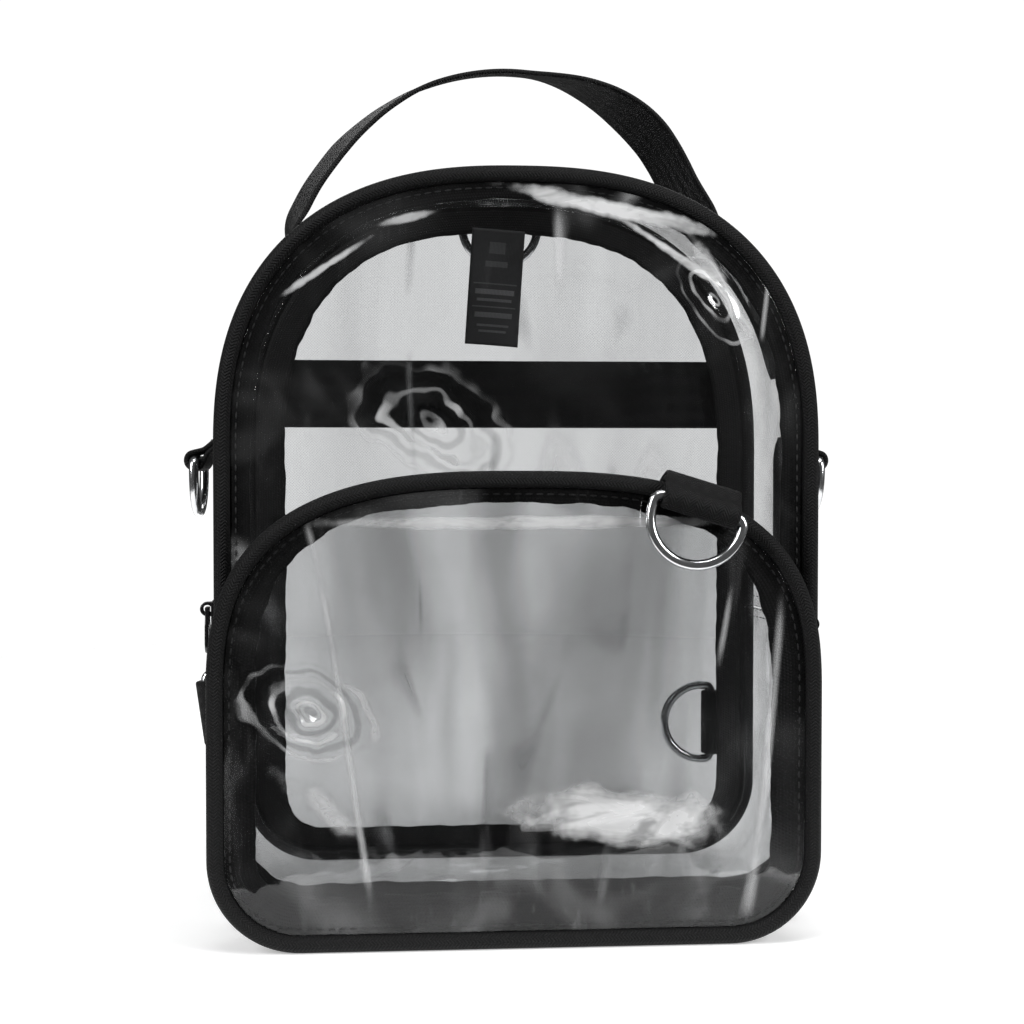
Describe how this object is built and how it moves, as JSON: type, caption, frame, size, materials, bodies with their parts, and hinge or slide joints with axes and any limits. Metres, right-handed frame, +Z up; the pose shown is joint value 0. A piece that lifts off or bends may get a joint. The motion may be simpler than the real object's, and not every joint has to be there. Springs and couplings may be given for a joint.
{
  "type": "clear stadium backpack",
  "caption": "Small clear soft backpack with an arched body, a front pocket, black woven trim, a webbing top handle and swinging D-rings.",
  "frame": {"origin": "middle of the flat bottom that the bag stands on", "axes": "+Z up, -Y out of the front pocket, +X to the right as seen from the front"},
  "size_m": [0.2231, 0.1344, 0.285],
  "materials": {
    "clear_pvc": "clear soft sheet, glossy, with creases and glare",
    "black_zip_tape": "woven nylon tape",
    "black_coil": "nylon coil",
    "black_slider": "black gloss enamel",
    "black_piping": "woven over a round cord, with a chevron line",
    "black_seam_tape": "woven nylon tape, dotted weave",
    "black_webbing": "woven nylon webbing, herringbone",
    "chrome_ring": "polished plated steel wire",
    "black_label": "woven label, plain bars only"
  },
  "bodies": {
    "bag": {"front_panel": "clear_pvc", "back_panel": "clear_pvc", "pocket_panel": "clear_pvc", "gusset_lower": "clear_pvc", "gusset_upper": "clear_pvc", "zip_tape_front": "black_zip_tape", "zip_tape_back": "black_zip_tape", "zip_coil": "black_coil", "pocket_zip_coil": "black_coil", "zip_slider": "black_slider", "pocket_zip_slider": "black_slider", "piping_front": "black_piping", "piping_back": "black_piping", "piping_pocket": "black_piping", "seam_tape_front": "black_seam_tape", "seam_tape_back": "black_seam_tape", "seam_tape_pocket": "black_seam_tape", "pocket_gusset": "black_webbing", "back_band": "black_webbing", "side_strip_left": "black_webbing", "side_strip_right": "black_webbing", "handle": "black_webbing", "tab_front": "black_webbing", "tab_side_left": "black_webbing", "tab_side_right": "black_webbing", "tab_back_top": "black_webbing", "tab_back_left": "black_webbing", "tab_back_right": "black_webbing", "label": "black_label"},
    "front_ring": {"ring_front": "chrome_ring"},
    "left_ring": {"ring_side_left": "chrome_ring"},
    "right_ring": {"ring_side_right": "chrome_ring"},
    "back_top_ring": {"ring_back_top": "chrome_ring"},
    "back_right_ring": {"ring_back_right": "chrome_ring"},
    "back_left_ring": {"ring_back_left": "chrome_ring"},
    "main_pull": {"zip_pull": "black_slider"},
    "pocket_pull": {"pocket_zip_pull": "black_slider"}
  },
  "joints": [
    {"name": "front_ring_swing", "type": "hinge", "parent": "bag", "child": "front_ring", "pos_m": [0.052, -0.07355, 0.1337], "axis": [-0.9563, 0, 0.2924], "range_deg": [0, 150]},
    {"name": "left_ring_swing", "type": "hinge", "parent": "bag", "child": "left_ring", "pos_m": [-0.106, 0.005, 0.148], "axis": [0, 1, 0], "range_deg": [0, 150]},
    {"name": "right_ring_swing", "type": "hinge", "parent": "bag", "child": "right_ring", "pos_m": [0.106, 0.005, 0.148], "axis": [0, -1, 0], "range_deg": [0, 150]},
    {"name": "back_top_ring_swing", "type": "hinge", "parent": "bag", "child": "back_top_ring", "pos_m": [0, 0.05155, 0.2395], "axis": [1, 0, 0], "range_deg": [0, 150]},
    {"name": "back_right_ring_swing", "type": "hinge", "parent": "bag", "child": "back_right_ring", "pos_m": [0.0803, 0.05025, 0.049], "axis": [0, 0, -1], "range_deg": [0, 150]},
    {"name": "back_left_ring_swing", "type": "hinge", "parent": "bag", "child": "back_left_ring", "pos_m": [-0.10819, 0.05025, 0.0548], "axis": [-0.1392, 0, 0.9903], "range_deg": [0, 150]},
    {"name": "main_pull_swing", "type": "hinge", "parent": "bag", "child": "main_pull", "pos_m": [-0.09954, -0.027, 0.1], "axis": [0, 1, 0], "range_deg": [0, 150]},
    {"name": "pocket_pull_swing", "type": "hinge", "parent": "bag", "child": "pocket_pull", "pos_m": [0.0908, -0.0549, 0.09652], "axis": [0, -1, 0], "range_deg": [0, 150]}
  ]
}
